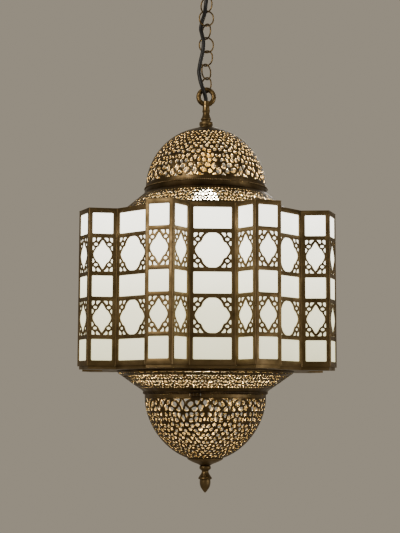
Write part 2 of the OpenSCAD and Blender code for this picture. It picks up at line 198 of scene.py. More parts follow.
def metal(name, dark, middle, light, rough, metallic=0.92, patch=55, grain=0.0002):
    """Antiqued metal: patches of patina, uneven polish and a fine cast grain."""
    mat, tree, shader = new_material(name)
    shader.inputs["Metallic"].default_value = metallic
    patina = noise(tree, patch, 8, 0.6)
    tree.links.new(ramp(tree, patina, [(0.30, dark), (0.50, middle), (0.72, light)]),
                   shader.inputs["Base Color"])
    polish = noise(tree, patch * 3, 5)
    tree.links.new(spread(tree, polish, rough - 0.12, rough + 0.14), shader.inputs["Roughness"])
    bump(tree, shader, noise(tree, 700, 4), 0.35, grain)
    return mat


def opal_glass():
    """White opal panes, lit from inside: brightest by the bulb at the top, creamy green lower down."""
    mat, tree, shader = new_material("opal_glass")
    shader.inputs["Roughness"].default_value = 0.22
    shader.inputs["IOR"].default_value = 1.5
    cloud = noise(tree, 9, 3, 0.2, (1, 1, 0.35))
    tree.links.new(ramp(tree, cloud, [(0.3, (0.80, 0.80, 0.72)), (0.7, (0.90, 0.89, 0.84))]),
                   shader.inputs["Base Color"])
    coords = tree.nodes.new("ShaderNodeTexCoord")
    split = tree.nodes.new("ShaderNodeSeparateXYZ")
    tree.links.new(coords.outputs["Object"], split.inputs["Vector"])
    height = tree.nodes.new("ShaderNodeMapRange")
    height.inputs["From Min"].default_value = body_lo.z
    height.inputs["From Max"].default_value = body_hi.z
    tree.links.new(split.outputs["Z"], height.inputs["Value"])
    tree.links.new(ramp(tree, height.outputs["Result"],
                        [(0.0, (0.34, 0.33, 0.19)), (0.35, (0.50, 0.48, 0.31)),
                         (0.65, (0.80, 0.78, 0.60)), (1.0, (1.0, 0.98, 0.88))]),
                   shader.inputs["Emission Color"])
    shader.inputs["Emission Strength"].default_value = 3.0
    bump(tree, shader, noise(tree, 30, 2), 0.12, 0.0006)
    return mat


def glowing(name, colour, strength):
    """Lit opal glass of the bulb, a little uneven."""
    mat, tree, shader = new_material(name)
    shader.inputs["Base Color"].default_value = (*colour, 1)
    shader.inputs["Roughness"].default_value = 0.35
    warm = tuple(c * f for c, f in zip(colour, (1, 0.94, 0.82)))
    tree.links.new(ramp(tree, noise(tree, 60, 2), [(0.3, warm), (0.7, colour)]),
                   shader.inputs["Emission Color"])
    shader.inputs["Emission Strength"].default_value = strength
    return mat


def plastic(name, dark, light, rough):
    """Moulded plastic or rubber with a slight mottle and a fine skin."""
    mat, tree, shader = new_material(name)
    colour = ramp(tree, noise(tree, 120, 4), [(0.3, dark), (0.7, light)])
    tree.links.new(colour, shader.inputs["Base Color"])
    tree.links.new(spread(tree, noise(tree, 300, 3), rough - 0.08, rough + 0.08),
                   shader.inputs["Roughness"])
    bump(tree, shader, noise(tree, 1500, 2), 0.2, 0.0001)
    return mat


def make_materials():
    return {
        "antique_brass": metal("antique_brass", (0.085, 0.056, 0.022), (0.130, 0.088, 0.038),
                               (0.190, 0.132, 0.064), 0.44, patch=26),
        # Lighter brass for rubbed edges, corner beads and the dome's beads: worn brass, and made lighter
        # also as a painted highlight.
        "worn_brass_and_painted_highlight": metal("worn_brass_and_painted_highlight", (0.12, 0.080, 0.035), (0.20, 0.138, 0.066),
                            (0.30, 0.215, 0.115), 0.36),
        # Darker copy of the brass for the pierced shells: painted shade, as their strands stand in shade
        # against the lit openings.
        "brass_with_painted_shade": metal("brass_with_painted_shade", (0.050, 0.033, 0.013), (0.085, 0.056, 0.024),
                            (0.14, 0.096, 0.045), 0.40, patch=40),
        "dark_brass": metal("dark_brass", (0.030, 0.020, 0.011), (0.065, 0.044, 0.022),
                            (0.14, 0.095, 0.045), 0.45),
        "chain_brass": metal("chain_brass", (0.055, 0.035, 0.014), (0.14, 0.092, 0.036),
                             (0.30, 0.205, 0.09), 0.34, patch=160),
        "lampholder_brass": metal("lampholder_brass", (0.40, 0.27, 0.08), (0.58, 0.41, 0.14),
                                  (0.72, 0.54, 0.22), 0.30),
        "steel": metal("steel", (0.28, 0.28, 0.27), (0.42, 0.42, 0.41), (0.55, 0.55, 0.54), 0.38),
        "black_flex": plastic("black_flex", (0.003, 0.003, 0.004), (0.008, 0.008, 0.009), 0.5),
        "terminal_plastic": plastic("terminal_plastic", (0.66, 0.63, 0.55), (0.76, 0.73, 0.65), 0.5),
        "opal_glass": opal_glass(),
        "bulb_cap_metal": metal("bulb_cap_metal", (0.45, 0.45, 0.44), (0.6, 0.6, 0.6),
                                (0.7, 0.7, 0.7), 0.3),
        "bulb_glass": glowing("bulb_glass", (1.0, 0.93, 0.78), 30),
    }


# ---------------------------------------------------------------- Mesh building

def add_piece(name, verts, faces, body, slot, nodes, sharp=35, extra=None, face_kinds=None, look=None):
    """A mesh of points in frame metres that rides on a body and stands for CAD nodes. look is a
    material other than the slot's own; extra is a second one, used where face_kinds is 1."""
    mesh = bpy.data.meshes.new(name)
    mesh.from_pydata(verts, [], faces)
    mesh.materials.append(MATERIALS[look or slot])
    if extra:
        mesh.materials.append(MATERIALS[extra])
        mesh.polygons.foreach_set("material_index", face_kinds)
    mesh.validate()
    mesh.update()
    mesh.shade_smooth()
    if sharp:
        mesh.set_sharp_from_angle(angle=math.radians(sharp))
    piece = bpy.data.objects.new(name, mesh)
    bpy.context.scene.collection.objects.link(piece)
    if body:
        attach(piece, body)
    if nodes:
        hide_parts(*nodes)
    return piece


def lathe(name, profile, body, slot, nodes, steps=96, sharp=35):
    """A turned piece. profile is a closed outline of (radius, height), in mm, that may touch the axis."""
    verts, faces, rings = [], [], []
    for r, z in profile:
        if r < 1e-6:
            verts.append(point(0, 0, z))
            rings.append([len(verts) - 1] * steps)
            continue
        first = len(verts)
        for i in range(steps):
            a = 2 * math.pi * i / steps
            verts.append(point(r * math.cos(a), r * math.sin(a), z))
        rings.append(list(range(first, first + steps)))
    for a, b in zip(rings, rings[1:] + rings[:1]):
        for i in range(steps):
            j = (i + 1) % steps
            face = [a[i], a[j], b[j], b[i]]
            face = [v for n, v in enumerate(face) if v != face[n - 1]]
            if len(face) > 2:
                faces.append(face)
    return add_piece(name, verts, faces, body, slot, nodes, sharp)


def arc(centre_r, centre_z, radius, start, end, steps):
    """Points of a profile's round stretch, from one angle to another in degrees."""
    angles = [math.radians(start + (end - start) * i / steps) for i in range(steps + 1)]
    return [(centre_r + radius * math.cos(a), centre_z + radius * math.sin(a)) for a in angles]


def spline(points, count):
    """A smooth curve through the points, count steps between each pair."""
    out = []
    last = len(points) - 1
    for i in range(last):
        a, b = Vector(points[max(i - 1, 0)]), Vector(points[i])
        c, d = Vector(points[i + 1]), Vector(points[min(i + 2, last)])
        for k in range(count):
            t = k / count
            out.append(0.5 * (2 * b + (c - a) * t + (2 * a - 5 * b + 4 * c - d) * t * t
                              + (3 * b - a - 3 * c + d) * t ** 3))
    out.append(Vector(points[last]))
    return out


def softened(points, cut, keep=()):
    """A closed outline with its corners cut twice, apart from those numbered in keep."""
    for _ in range(2):
        out, kept = [], []
        n = len(points)
        for i, p in enumerate(points):
            if i in keep:
                kept.append(len(out))
                out.append(p)
                continue
            for q in (points[i - 1], points[(i + 1) % n]):
                d = math.dist(p, q)
                t = min(cut / d, 0.3)
                out.append((p[0] + (q[0] - p[0]) * t, p[1] + (q[1] - p[1]) * t))
        points, keep, cut = out, kept, cut * 0.45
    return points


def signed_area(loop):
    return sum(a[0] * b[1] - b[0] * a[1] for a, b in zip(loop, loop[1:] + loop[:1])) / 2


# ---------------------------------------------------------------- Pierced shells

class Meridian:
    """A shell's outer line from rim to rim, by its length s in mm."""

    def __init__(self, points):
        self.points = [Vector(p) for p in points]
        self.lengths = [0.0]
        for a, b in zip(self.points, self.points[1:]):
            self.lengths.append(self.lengths[-1] + (b - a).length)
        self.total = self.lengths[-1]

    def at(self, s):
        """Radius and height at s, and the line's direction there."""
        i = 0
        while i < len(self.lengths) - 2 and self.lengths[i + 1] < s:
            i += 1
        a, b = self.points[i], self.points[i + 1]
        t = (s - self.lengths[i]) / (self.lengths[i + 1] - self.lengths[i])
        along = (b - a).normalized()
        return a + (b - a) * t, along


def leaf(x, s, wide, tall, tilt=0):
    """A pointed oval opening, in mm from an axis and from the rim, turned by tilt."""
    shape = [(0, -0.5), (0.36, -0.25), (0.5, 0.02), (0.34, 0.28), (0, 0.5), (-0.34, 0.28), (-0.5, 0.02),
             (-0.36, -0.25)]
    c, d = math.cos(math.radians(tilt)), math.sin(math.radians(tilt))
    return [(x + a * wide * c - b * tall * d, s + a * wide * d + b * tall * c) for a, b in shape]


def pierce(openings, meridian, half, start, end):
    """The half sector less its openings, as points (share of the half sector, s) and triangles.
    openings are (axis, outline): outlines run from axis 0 or axis 1, in mm, with s from start."""
    width = meridian.at(0)[0].x * half
    flat, loops = [], []
    rows = [0, start] + [start + (end - start) * i / 24 for i in range(1, 25)]
    rows += [end + (meridian.total - end) * i / 4 for i in range(1, 5)]
    for lower, upper in zip(rows, rows[1:]):
        for i in range(8):
            corners = [(i / 8, lower), (i / 8 + 0.125, lower), (i / 8 + 0.125, upper), (i / 8, upper)]
            loops.append([len(flat) + k for k in range(4)])
            flat += [Vector((u * width, s)) for u, s in corners]
    solid = len(loops)
    for axis, outline in openings:
        loop = []
        for x, s in outline:
            u = x / (meridian.at(s + start)[0].x * half)
            loop.append(((u if axis == 0 else 1 - u) * width, s + start))
        loops.append([len(flat) + k for k in range(len(loop))])
        flat += [Vector(p) for p in (loop if signed_area(loop) > 0 else loop[::-1])]
    out = delaunay_2d_cdt(flat, [], loops, 1, 1e-4, True)
    kept = [f for f, inside in zip(out[2], out[5]) if inside and max(inside) < solid]
    points = []
    for v in out[0]:
        u = v.x / width
        points.append((0.0 if abs(u) < 1e-5 else 1.0 if abs(u - 1) < 1e-5 else u, v.y))
    return points, kept


def pierced_shell(name, meridian, pierced, repeats, phase, thickness, flip, body, slot, nodes):
    """Repeats the half sector and its mirror image round the axis, and gives it its thickness.
    flip is True where the meridian runs downwards."""
    half = math.pi / repeats
    points, triangles = pierced
    index, places, faces = {}, [], []

    def vertex(u, s, sector, side):
        angle = (phase + 2 * half * sector + side * u * half) % (2 * math.pi)
        key = (round(angle * 1e5) % round(2e5 * math.pi), round(s * 1e3))
        if key not in index:
            index[key] = len(places)
            places.append((angle, s))
        return index[key]

    for sector in range(repeats):
        for side in (1, -1):
            for triangle in triangles:
                loop = [vertex(*points[i], sector, side) for i in triangle]
                if len(set(loop)) == 3:
                    faces.append(loop if (side > 0) != flip else loop[::-1])
    count = len(places)
    verts = []
    for depth in (0, thickness):
        for angle, s in places:
            spot, along = meridian.at(s)
            out = Vector((along.y, -along.x)) * (-1 if flip else 1)
            r, z = spot.x - out.x * depth, spot.y - out.y * depth
            verts.append(point(r * math.cos(angle), r * math.sin(angle), z))
    edges = {(a, b) for f in faces for a, b in zip(f, f[1:] + f[:1])}
    walls = [[b, a, a + count, b + count] for a, b in edges if (b, a) not in edges]
    inner = [[i + count for i in f[::-1]] for f in faces]
    # The shell's strands take the darker brass of painted shade.
    return add_piece(name, verts, faces + inner + walls, body, slot, nodes, sharp=0, look="brass_with_painted_shade")


def rim_openings():
    """The openings of the dome and the bowl next to the rim. Axis 0 runs through a tall kite that
    stands on the band, axis 1 through a diamond between two petals."""
    return [
        (0, [(0, 1.4), (2.6, 5.6), (3.7, 8.6), (2.0, 12.6), (0.5, 17), (-0.5, 17), (-3.7, 8.6)]),
        (0, [(2.6, 0.5), (14.8, 0.5), (11.0, 2.0), (7.6, 4.0), (5.2, 6.8), (4.2, 4.2)]),
        (0, [(5.4, 11.6), (7.6, 14.6), (10.8, 17.0), (9.0, 19.8), (4.4, 20.4), (3.2, 17.6)]),
        (0, [(8.4, 10.4), (10.4, 6.6), (14.0, 4.8), (18.6, 5.8), (18.2, 9.6), (15.4, 12.4), (11.4, 13.4)]),
        (0, [(14.2, 16.2), (18.0, 13.6), (22.4, 13.2), (24.8, 15.8), (22.2, 19.4), (18.0, 20.8)]),
        (0, [(3.4, 24.2), (5.8, 22.8), (8.4, 23.2), (8.8, 27.2), (6.8, 30.4), (4.8, 30.8), (4.4, 27.6)]),
        (0, [(0, 25.0), (2.0, 28.4), (3.2, 31.6), (1.6, 34.8), (0, 37.6), (-3.2, 31.6)]),
        (0, [(11.0, 22.6), (14.6, 21.8), (17.8, 24.2), (16.4, 27.8), (13.2, 29.2), (11.0, 27.0)]),
        (0, [(9.0, 33.2), (11.6, 30.8), (15.0, 31.6), (15.4, 35.4), (12.6, 38.2), (8.6, 37.2)]),
        (0, [(17.6, 31.0), (20.2, 28.0), (23.2, 29.4), (23.0, 33.6), (20.4, 36.4), (17.6, 35.4)]),
        (1, [(0, 0.9), (2.8, 3.4), (5.0, 6.6), (2.8, 10.2), (0, 13.2), (-5.0, 6.6)]),
        (1, [(3.6, 0.5), (11.4, 0.5), (8.8, 2.4), (6.6, 4.8)]),
        (1, [(10.0, 5.8), (12.8, 3.0), (16.6, 3.4), (16.8, 7.2), (14.2, 10.2), (11.6, 8.8)]),
        (1, [(3.8, 13.2), (6.4, 9.8), (9.4, 9.6), (12.0, 13.0), (10.6, 17.8), (6.6, 20.4), (5.6, 16.4)]),
        (1, [(2.6, 22.0), (6.6, 22.8), (9.6, 25.4), (7.0, 28.6), (3.8, 27.6)]),
        (1, [(11.8, 22.6), (15.2, 20.8), (17.0, 23.4), (15.2, 27.0), (12.0, 27.4)]),
        (1, [(1.2, 30.0), (4.0, 30.6), (5.0, 34.4), (2.6, 36.2), (1.2, 33.4)]),
        (1, [(7.0, 31.4), (10.0, 30.2), (11.0, 33.6), (9.6, 37.2), (6.8, 36.6)]),
    ]


def arabesque(meridian, half, start, end):
    """The rim's openings, and above them rows of leaves that get smaller towards the pole."""
    openings = [(axis, softened(outline, 0.9)) for axis, outline in rim_openings()]
    s, row = 43.0, 0
    while True:
        pitch = 9.4 - 0.028 * s
        if start + s + pitch * 0.6 > end:
            return pierce(openings, meridian, half, start, end)
        room = meridian.at(start + s)[0].x * half
        count = max(2, round(room / (8.6 - 0.02 * s)))
        step = room / count
        wide, tall = step - 1.8, pitch * 1.02 - 1.2
        for i in range(count + row % 2):
            sway = 1 if (i + row) % 2 else -1
            on_axis = row % 2 and i in (0, count)
            x = (i + 0.5 - 0.5 * (row % 2)) * step
            openings.append((0, leaf(x, s + sway * 0.17 * pitch, wide, tall, 0 if on_axis else 30 * sway)))
        s += pitch
        row += 1


def make_dome():
    sphere_r, offset, centre = 100.6, 3.3, 170
    top = math.degrees(math.acos((9 + offset) / sphere_r))
    line = [(100, 160), (99.5, 161), (98.8, 162.5), (97.6, 166), (97.35, 168)] + \
        arc(-offset, centre, sphere_r, 0, top, 48)
    meridian = Meridian(line)
    half = math.pi / 8
    pierced_shell("dome_shell", meridian, arabesque(meridian, half, 15.5, 120), 8, math.radians(-104), 1,
                  False, "lantern", "antique_brass", ["dome"])


def make_bowl():
    depth, end, power, rim, top = 99.5, 95, 1.78, 96.5, -167
    steps = 60
    line = []
    for i in range(steps + 1):
        h = end * (1 - (1 - i / steps) ** 1.5)
        line.append((rim * math.sqrt(1 - (h / depth) ** power), top - h))
    meridian = Meridian(line)
    half = math.pi / 8
    pierced_shell("bowl_shell", meridian, arabesque(meridian, half, 0.8, meridian.total - 3), 8,
                  math.radians(-92.7 + 22.5), 1, True, "bowl", "antique_brass", ["bowl"])


def cone_openings():
    """The openings of the cones, from the wide edge inwards: a triangle under a fan of leaves on
    axis 0, a diamond between petals on axis 1, and flat ovals next to the narrow edge."""
    return [
        (0, leaf(0, 2.6, 3.6, 5.0)),
        (0, leaf(4.6, 3.4, 3.0, 6.6, 38)),
        (0, leaf(3.0, 10.0, 3.0, 7.6, -32)),
        (0, [(0, 13.6), (2.4, 17.6), (4.2, 21.4), (-4.2, 21.4), (-2.4, 17.6)]),
        (0, leaf(6.6, 17.6, 2.8, 7.0, 14)),
        (0, leaf(3.8, 27.0, 3.0, 6.6, 40)),
        (0, leaf(0, 27.0, 2.2, 5.6)),
        (0, leaf(2.8, 33.4, 1.9, 4.4, 84)),
        (1, leaf(3.4, 3.0, 2.8, 5.8, -40)),
        (1, leaf(0, 7.2, 2.6, 4.6)),
        (1, leaf(4.4, 9.4, 2.6, 6.4, 36)),
        (1, [(0, 12.2), (2.9, 16.8), (0, 21.4), (-2.9, 16.8)]),
        (1, leaf(3.4, 23.6, 2.6, 6.4, -28)),
        (1, leaf(0, 27.6, 2.4, 5.2)),
        (1, leaf(2.6, 33.4, 1.8, 3.8, 96)),
    ]


def make_cones():
    repeats = 32
    half = math.pi / repeats
    upper = Meridian([(99.8, 160), (141, 125.2), (141.6, 121.2)])
    reach = 45.6
    openings = []
    for axis, outline in cone_openings():
        openings.append((axis, [(x, reach - s * 1.12) for x, s in outline[::-1]]))
    pierced_shell("upper_cone_shell", upper, pierce(openings, upper, half, 3, 50), repeats, 0, 1, True,
                  "lantern", "antique_brass", ["upper_cone"])
    lower = Meridian([(141.4, -124.8), (141, -127.3), (100, -156), (99.2, -157.8), (97.2, -158.6)])
    shift = 6.4
    openings = [(axis, [(x, s + shift) for x, s in outline]) for axis, outline in cone_openings()]
    slot = [(1.6, 0.2), (11.9, 0.2), (11.9, 2.0), (1.6, 2.0)]
    openings.append((0, slot))
    pierced_shell("lower_cone_shell", lower, pierce(openings, lower, half, 5.0, lower.total - 7),
                  repeats, 0, 1, True, "lantern", "antique_brass", ["lower_cone"])


# ---------------------------------------------------------------- Panels

WIDE_W, BAY_W, SHEET = 67.2, 43.3, 1.2
WIDE_STILE, BAY_STILE = 5.4, 6.0
WINDOW_H, RAIL_TOP, RAIL_MID, RAIL_BOTTOM = 32, 6.5, 5.85, 8.3
FRET_H = (BODY_H - 3 * WINDOW_H - RAIL_TOP - 4 * RAIL_MID - RAIL_BOTTOM) / 2
SIDE_TURN, SECTOR = 52.5, 45
HALF = SECTOR / 2
BAY_TURN = SIDE_TURN + HALF


def cosd(a):
    return math.cos(math.radians(a))


def sind(a):
    return math.sin(math.radians(a))


WIDE_A = ((cosd(HALF) * (WIDE_W / 2 + BAY_W * cosd(SIDE_TURN)) + BAY_W / 2) / sind(HALF)
          - BAY_W * sind(SIDE_TURN))
SIDE_A = WIDE_A * cosd(SIDE_TURN) - WIDE_W / 2 * sind(SIDE_TURN)
FRONT_A = ((WIDE_A + BAY_W * sind(SIDE_TURN)) * cosd(HALF)
           + (WIDE_W / 2 + BAY_W * cosd(SIDE_TURN)) * sind(HALF))
SIDE_SHIFT = WIDE_A * sind(SIDE_TURN) + WIDE_W / 2 * cosd(SIDE_TURN) + BAY_W / 2


def four_way(quarter):
    """A closed outline from its quarter, which runs from the upper axis round to the right-hand axis."""
    right = quarter + [(x, -y) for x, y in quarter[::-1] if y > 0]
    return right + [(-x, y) for x, y in right[::-1] if x > 0]


def ellipse(x, y, rx, ry, steps=14):
    return [(x + rx * cosd(360 * i / steps), y + ry * sind(360 * i / steps)) for i in range(steps)]


def narrow_openings():
    """Openings of a narrow fret tile: a pointed ogee, and four corners with a ring in each."""
    h = FRET_H / 2
    main = four_way([(0, h - 3.7), (1.7, h - 5.9), (3.4, h - 8.4), (5.0, h - 11.6),
                     (6.9, h - 14.4), (9.6, h - 15.6), (10.6, h - 18.2),
                     (12.7, h - 21.4), (13.9, h - 24.6), (14.1, 0)])
    corner = [
        [(1.7, h - 0.6), (8.5, h - 0.6), (9.0, h - 4.4), (7.3, h - 7.1), (5.0, h - 4.2)],
        [(10.8, h - 0.6), (15.4, h - 0.6), (15.4, h - 8.2), (13.3, h - 6.8), (11.1, h - 4.8)],
        [(15.4, h - 12.6), (12.3, h - 15.4), (12.8, h - 17.8), (15.4, h - 21.0)],
    ]
    return main, (0, 18), corner, (10.3, h - 10.7, 2.9, 2.3)


def wide_openings():
    """Openings of a wide fret tile: four lobes, flat at top and bottom, and the same corners."""
    h = FRET_H / 2
    main = four_way([(5.4, h - 0.4), (8.8, h - 2.1), (11.9, h - 4.8), (14.2, h - 8.0), (15.6, h - 11.8),
                     (17.0, h - 14.5), (20.0, h - 15.1), (21.5, h - 17.8), (24.1, h - 21.6),
                     (25.6, h - 24.6), (25.9, 0)])
    corner = [
        [(12.6, h - 0.6), (19.3, h - 0.6), (20.2, h - 4.0), (18.2, h - 7.6), (16.0, h - 4.4)],
        [(21.6, h - 0.6), (27.8, h - 0.6), (27.8, h - 8.4), (24.8, h - 6.2), (22.3, h - 4.2)],
        [(27.8, h - 12.2), (23.9, h - 15.2), (24.5, h - 17.8), (27.8, h - 20.6)],
    ]
    return main, (), corner, (21.9, h - 10.4, 2.9, 2.3)


def inset_loop(loop, d):
    """The loop moved d to its left, with long corners held back."""
    out = []
    n = len(loop)
    for i in range(n):
        p = Vector(loop[i])
        a, b = (p - Vector(loop[i - 1])).normalized(), (Vector(loop[(i + 1) % n]) - p).normalized()
        left = Vector((-(a.y + b.y), a.x + b.x))
        reach = d / max(left.length / 2, 0.6)
        out.append(tuple(p + left.normalized() * reach))
    return out


def narrowed(loop, d):
    """An opening made smaller by d all round."""
    return inset_loop(loop if signed_area(loop) > 0 else loop[::-1], d)


def panel_holes(width, stile, openings):
    """Every opening of a panel: three windows and two fret tiles between them."""
    main, keep, corner, ring = openings()
    fit = 0.2
    holes = []
    top = BODY_H / 2 - RAIL_TOP
    for row in range(5):
        tall = WINDOW_H if row % 2 == 0 else FRET_H
        middle = top - tall / 2
        if row % 2 == 0:
            x, y = width / 2 - stile, tall / 2
            outline = softened([(-x, -y), (x, -y), (x, y), (-x, y)], 0.8)
            holes.append([(px, py + middle) for px, py in outline])
        else:
            tile = [narrowed(softened(main, 0.9, keep), fit)]
            for sx in (1, -1):
                for sy in (1, -1):
                    for outline in corner:
                        small = softened(narrowed(outline, fit), 0.7)
                        tile.append([(sx * px, sy * py) for px, py in small])
                    tile.append([(sx * px, sy * py) for px, py in narrowed(ellipse(*ring), fit)])
            for outline in tile:
                holes.append([(px, py + middle) for px, py in outline])
        top -= tall + RAIL_MID
    return holes


def plate(width, left_cut, right_cut, holes):
    """A pierced plate with rounded edges: points (x, y, z out of the plate), faces and their kinds."""
    x0, x1, y = -width / 2 + left_cut, width / 2 - right_cut, BODY_H / 2
    loops = [[(x0, -y), (x1, -y), (x1, y), (x0, y)]]
    loops += [h if signed_area(h) < 0 else h[::-1] for h in holes]
    verts, faces, kinds = [], [], []
    edge, drop = 0.34, 0.26
    layers = []
    for number, loop in enumerate(loops):
        n = len(loop)
        mids = inset_loop(loop, 0.30 * edge)
        tops = inset_loop(loop, edge)
        rings = []
        for ring, z in ((tops, SHEET), (mids, SHEET - 0.3 * drop), (loop, SHEET - drop), (loop, 0.0)):
            rings.append(list(range(len(verts), len(verts) + n)))
            verts += [(px, py, z) for px, py in ring]
        for k, (upper, lower) in enumerate(zip(rings, rings[1:])):
            for i in range(n):
                j = (i + 1) % n
                faces.append([lower[i], lower[j], upper[j], upper[i]])
                # Kind 1, the rounded edges round the openings, gets the lighter brass: wear, and a painted
                # highlight.
                kinds.append(1 if k < 2 and number else 0)
        layers.append(rings)
    for which, flip in ((0, False), (3, True)):
        flat, outlines, names = [], [], []
        for rings in layers:
            outlines.append(list(range(len(flat), len(flat) + len(rings[which]))))
            flat += [Vector(verts[i][:2]) for i in rings[which]]
            names += rings[which]
        outlines = [o if n == 0 else o[::-1] for n, o in enumerate(outlines)]
        out = delaunay_2d_cdt(flat, [], outlines, 1, 1e-5, True)
        origin = [names[o[0]] for o in out[3]]
        for face, inside in zip(out[2], out[5]):
            if set(inside) != {0}:
                continue
            loop = [origin[i] for i in face]
            faces.append(loop[::-1] if flip else loop)
            kinds.append(0)
    return verts, faces, kinds


def stand(plate_mesh, turn, distance, shift):
    """The plate's points, stood upright with its outer face at that distance from the axis."""
    out = []
    for x, y, z in plate_mesh[0]:
        along, away = x + shift, distance - SHEET + z
        out.append(point(away * cosd(turn) - along * sind(turn), away * sind(turn) + along * cosd(turn), y))
    return out


def corner_bead(corner_turn, radius, corner_xy):
    """A rounded edge between two plates of a bay: a sector of a circle about the inner corner."""
    steps, y = 6, BODY_H / 2
    centre = Vector(corner_xy)
    verts, faces = [], []
    for z in (-y + 0.2, y - 0.2):
        verts.append(point(centre.x, centre.y, z))
        for i in range(steps + 1):
            a = corner_turn - BAY_TURN / 2 + BAY_TURN * i / steps
            verts.append(point(centre.x + radius * cosd(a), centre.y + radius * sind(a), z))
    n = steps + 2
    for i in range(1, steps + 1):
        faces.append([i, i + 1, n + i + 1, n + i])
    faces.append(list(range(n))[::-1])
    faces.append([n + i for i in range(n)])
    faces += [[0, 1, n + 1, n], [n - 1, 0, n, 2 * n - 1]]
    return verts, faces


def valley_seam(bay_turn, side):
    """The solder in the joint between a bay's side plate and the wide plate beside it."""
    y, reach = BODY_H / 2 - 0.2, 0.45
    side_turn, wide_turn = bay_turn + side * BAY_TURN, bay_turn + side * HALF
    x, w = crossing(wide_turn, WIDE_A, side_turn, SIDE_A)
    plan = []
    for turn, way, depth in ((wide_turn, side, 0), (side_turn, -side, 0), (side_turn, -side, SHEET),
                             (wide_turn, side, SHEET)):
        plan.append((x - way * reach * sind(turn) - depth * cosd(turn),
                     w + way * reach * cosd(turn) - depth * sind(turn)))
    verts = [point(a, b, z) for z in (-y, y) for a, b in plan]
    faces = [[0, 1, 5, 4], [1, 2, 6, 5], [2, 3, 7, 6], [3, 0, 4, 7], [3, 2, 1, 0], [4, 5, 6, 7]]
    if side > 0:
        faces = [f[::-1] for f in faces]
    return verts, faces


def foot_return(width, turn, distance, shift):
    """The foot of a plate, folded inwards over the bottom plate."""
    fold, sheet, y = 3.4, 0.6, -BODY_H / 2
    block = [(x, y + h, z) for h in (0, sheet) for x, z in
             ((-width / 2, -fold), (width / 2, -fold), (width / 2, 0.1), (-width / 2, 0.1))]
    faces = [[0, 1, 2, 3], [7, 6, 5, 4], [0, 4, 5, 1], [1, 5, 6, 2], [2, 6, 7, 3], [3, 7, 4, 0]]
    return stand((block,), turn, distance, shift), faces


def crossing(turn_1, a_1, turn_2, a_2):
    """Where two upright planes at those turns and distances meet, in plan."""
    s = sind(turn_2 - turn_1)
    return ((a_1 * sind(turn_2) - a_2 * sind(turn_1)) / s, (a_2 * cosd(turn_1) - a_1 * cosd(turn_2)) / s)


def make_panels():
    fit = 0.02
    cut = SHEET * math.tan(math.radians(BAY_TURN / 2)) + fit
    wide_holes = panel_holes(WIDE_W, WIDE_STILE, wide_openings)
    narrow_holes = panel_holes(BAY_W, BAY_STILE, narrow_openings)
    wide = plate(WIDE_W, fit, fit, wide_holes)
    front = plate(BAY_W, cut, cut, narrow_holes)
    left = plate(BAY_W, fit, cut, narrow_holes)
    right = plate(BAY_W, cut, fit, narrow_holes)
    for k in range(8):
        verts, faces, kinds = stand(wide, k * SECTOR, WIDE_A, 0), list(wide[1]), list(wide[2])
        foot = foot_return(WIDE_W + 3, k * SECTOR, WIDE_A, 0)
        faces += [[i + len(verts) for i in f] for f in foot[1]]
        verts += foot[0]
        kinds += [0] * len(foot[1])
        add_piece("wide_panel_%d" % (k + 1), verts, faces, "lantern", "antique_brass",
                  ["wide_frame_%d" % (k + 1)], 40, "worn_brass_and_painted_highlight", kinds)
        middle = (k + 0.5) * SECTOR
        verts, faces, kinds = [], [], []
        for part, turn, distance, shift in ((front, middle, FRONT_A, 0),
                                            (left, middle - BAY_TURN, SIDE_A, SIDE_SHIFT),
                                            (right, middle + BAY_TURN, SIDE_A, -SIDE_SHIFT)):
            first = len(verts)
            verts += stand(part, turn, distance, shift)
            faces += [[i + first for i in f] for f in part[1]]
            kinds += part[2]
            foot = foot_return(BAY_W - 2 * cut, turn, distance, shift)
            faces += [[i + len(verts) for i in f] for f in foot[1]]
            verts += foot[0]
            kinds += [0] * len(foot[1])
        for side in (-1, 1):
            inner = crossing(middle, FRONT_A - SHEET, middle + side * BAY_TURN, SIDE_A - SHEET)
            bead = corner_bead(middle + side * BAY_TURN / 2, SHEET, inner)
            seam = valley_seam(middle, side)
            # The corner bead gets the lighter brass too: wear, and a painted highlight on the rounded
            # corner.
            for extra, kind in ((bead, 1), (seam, 0)):
                first = len(verts)
                verts += extra[0]
                faces += [[i + first for i in f] for f in extra[1]]
                kinds += [kind] * len(extra[1])
        add_piece("bay_panel_%d" % (k + 1), verts, faces, "lantern", "antique_brass",
                  ["bay_frame_%d" % (k + 1)], 40, "worn_brass_and_painted_highlight", kinds)


# ---------------------------------------------------------------- Turned and twisted pieces

def ring_piece(name, ring_r, z, around, sides, radius, body, slot, node, look=None):
    """A ring whose section radius is radius(turn round the axis, turn round the section)."""
    verts, faces = [], []
    for i in range(around):
        a = 2 * math.pi * i / around
        for j in range(sides):
            b = 2 * math.pi * j / sides
            r = radius(a, b)
            verts.append(point((ring_r + r * math.cos(b)) * math.cos(a),
                               (ring_r + r * math.cos(b)) * math.sin(a), z + r * math.sin(b)))
    for i in range(around):
        for j in range(sides):
            k, m = (i + 1) % around, (j + 1) % sides
            faces.append([i * sides + j, k * sides + j, k * sides + m, i * sides + m])
    add_piece(name, verts, faces, body, slot, [node], sharp=0, look=look)


def make_rope_ring():
    """Four strands laid in a rope, each with a full turn about every 18 mm."""
    strands, turns, section = 4, 34, 3.0

    def radius(a, b):
        return section * (0.80 + 0.20 * abs(math.cos(strands * (b - turns * a) / 2)))

    ring_piece("rope", 96.5, -159, turns * 20, 28, radius, "lantern", "dark_brass", "rope_ring")


def make_beading():
    """A fine string of beads on the dome's band."""
    beads, section = 200, 1.2

    def radius(a, b):
        return section * (0.45 + 0.55 * abs(math.sin(beads * a / 2)))

    # The beads take the lighter brass: wear, and made lighter as a painted highlight.
    ring_piece("beads", 99, 168.2, beads * 8, 10, radius, "lantern", "antique_brass", "dome_beading",
               "worn_brass_and_painted_highlight")


